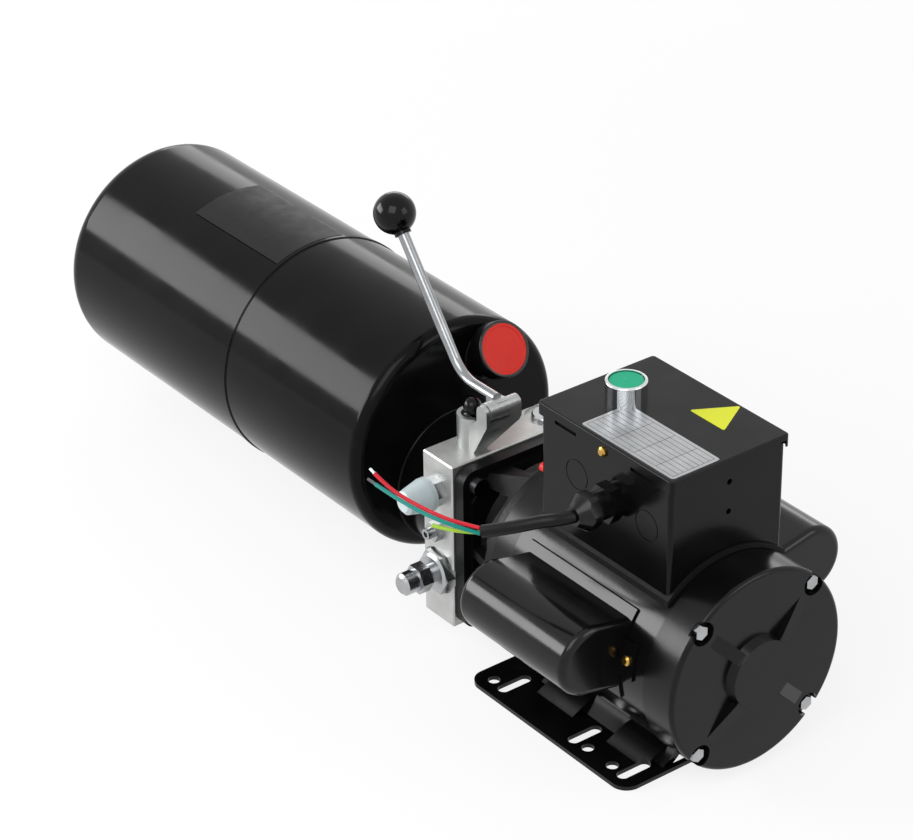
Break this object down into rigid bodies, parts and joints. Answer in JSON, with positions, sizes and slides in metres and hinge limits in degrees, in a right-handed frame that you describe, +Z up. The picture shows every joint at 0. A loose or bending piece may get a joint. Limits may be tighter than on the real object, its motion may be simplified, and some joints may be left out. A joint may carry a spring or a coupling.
{
  "type": "hydraulic power unit",
  "caption": "Hydraulic power unit: electric motor on a slotted foot, gear pump inside a round oil tank, manifold block with fittings, hand release lever and push-button box.",
  "frame": {"origin": "centre of the four outer round holes of the foot, on the foot's underside", "axes": "+X along the motor shaft towards the motor's end cover, away from the tank; +Z up; -Y towards the side with the hydraulic fittings and the cable"},
  "size_m": [0.711, 0.2686, 0.2988],
  "materials": {
    "gloss_black_paint": "gloss black paint on steel or cast iron",
    "satin_black_paint": "satin black paint on sheet steel",
    "cast_aluminium": "machined or cast aluminium",
    "black_cast": "black cast iron",
    "zinc_steel": "zinc plated steel",
    "black_steel": "blackened steel",
    "bright_steel": "ground steel",
    "copper_wire": "enamelled copper wire",
    "brass": "plain brass",
    "chrome": "chrome plate",
    "green_plastic": "green plastic",
    "red_plastic": "red plastic",
    "black_plastic": "gloss black plastic",
    "matte_black_plastic": "matt black plastic",
    "white_plastic": "white plastic",
    "black_rubber": "black rubber",
    "teal_sheath": "blue-green insulation",
    "yellow_green_sheath": "yellow and green insulation",
    "red_sheath": "red insulation",
    "steel_mesh": "woven wire strainer"
  },
  "bodies": {
    "housing": {"end_cover": "satin_black_paint", "motor_shell": "satin_black_paint", "drive_end_shield": "satin_black_paint", "stator_core": "bright_steel", "stator_windings": "copper_wire", "shaft_bearings": "bright_steel", "through_bolts": "zinc_steel", "foot_plate": "satin_black_paint", "capacitor_cover_near": "satin_black_paint", "capacitor_cover_far": "satin_black_paint", "capacitors": "cast_aluminium", "brass_screws": "brass", "junction_box": "satin_black_paint", "box_saddle": "black_rubber", "box_lid": "satin_black_paint", "button_bezel": "chrome", "contact_block": "matte_black_plastic", "cable_gland": "black_plastic", "gland_nut": "black_plastic", "power_cable": "black_rubber", "core_red": "red_sheath", "core_green": "teal_sheath", "core_ground": "yellow_green_sheath", "adapter_housing": "black_cast", "adapter_screws": "black_steel", "manifold_block": "cast_aluminium", "neck_seal": "black_rubber", "outlet_fitting": "zinc_steel", "outlet_dust_cap": "white_plastic", "relief_lock_nut": "zinc_steel", "check_valve_body": "zinc_steel", "check_valve_cap": "zinc_steel", "port_plug": "zinc_steel", "release_valve_body": "zinc_steel", "release_spring": "bright_steel", "lever_bracket": "cast_aluminium", "lever_pin": "zinc_steel", "tank_rear_shell": "gloss_black_paint", "tank_front_shell": "gloss_black_paint", "tank_neck": "gloss_black_paint", "neck_screws": "black_steel", "pump_body": "cast_aluminium", "pump_cover": "black_steel", "pump_bolts": "zinc_steel", "suction_tube": "zinc_steel", "suction_strainer": "steel_mesh"},
    "rotor": {"rotor_core": "bright_steel", "motor_shaft": "bright_steel", "coupling_sleeve": "bright_steel", "drive_gear": "bright_steel"},
    "driven": {"driven_gear": "bright_steel"},
    "lever": {"lever_hub": "zinc_steel", "lever_rod": "zinc_steel", "lever_knob": "black_plastic"},
    "plunger": {"release_plunger": "black_plastic"},
    "button": {"button_cap": "green_plastic"},
    "reset": {"reset_button": "red_plastic"},
    "cap": {"filler_cap": "black_plastic", "filler_cap_disc": "red_plastic"},
    "adjuster": {"relief_adjuster": "zinc_steel"}
  },
  "joints": [
    {"name": "rotor_spin", "type": "hinge", "parent": "housing", "child": "rotor", "pos_m": [0, 0, 0.082], "axis": [1, 0, 0], "continuous": true},
    {"name": "driven_spin", "type": "hinge", "parent": "housing", "child": "driven", "pos_m": [-0.19, 0, 0.057], "axis": [1, 0, 0], "continuous": true},
    {"name": "lever_lift", "type": "hinge", "parent": "housing", "child": "lever", "pos_m": [-0.1124, -0.029, 0.182], "axis": [0, 1, 0], "range_deg": [0, 18]},
    {"name": "plunger_lift", "type": "slide", "parent": "housing", "child": "plunger", "axis": [0, 0, 1], "range_m": [0, 0.00628], "deforming": ["release_spring"]},
    {"name": "button_press", "type": "slide", "parent": "housing", "child": "button", "axis": [0, 0, -1], "range_m": [0, 0.004], "stiffness_N_per_m": 400},
    {"name": "reset_press", "type": "slide", "parent": "housing", "child": "reset", "axis": [1, 0, 0], "range_m": [0, 0.003], "stiffness_N_per_m": 400},
    {"name": "cap_lift", "type": "slide", "parent": "housing", "child": "cap", "axis": [0.866, 0, 0.5], "range_m": [0, 0.03]},
    {"name": "relief_turn", "type": "hinge", "parent": "housing", "child": "adjuster", "pos_m": [-0.1317, -0.065, 0.09], "axis": [0, -1, 0], "range_deg": [-90, 90]}
  ],
  "couplings": [
    {"joint": "driven_spin", "follows": "rotor_spin", "ratio": -1},
    {"joint": "plunger_lift", "follows": "lever_lift", "m_per_rad": 0.02}
  ]
}
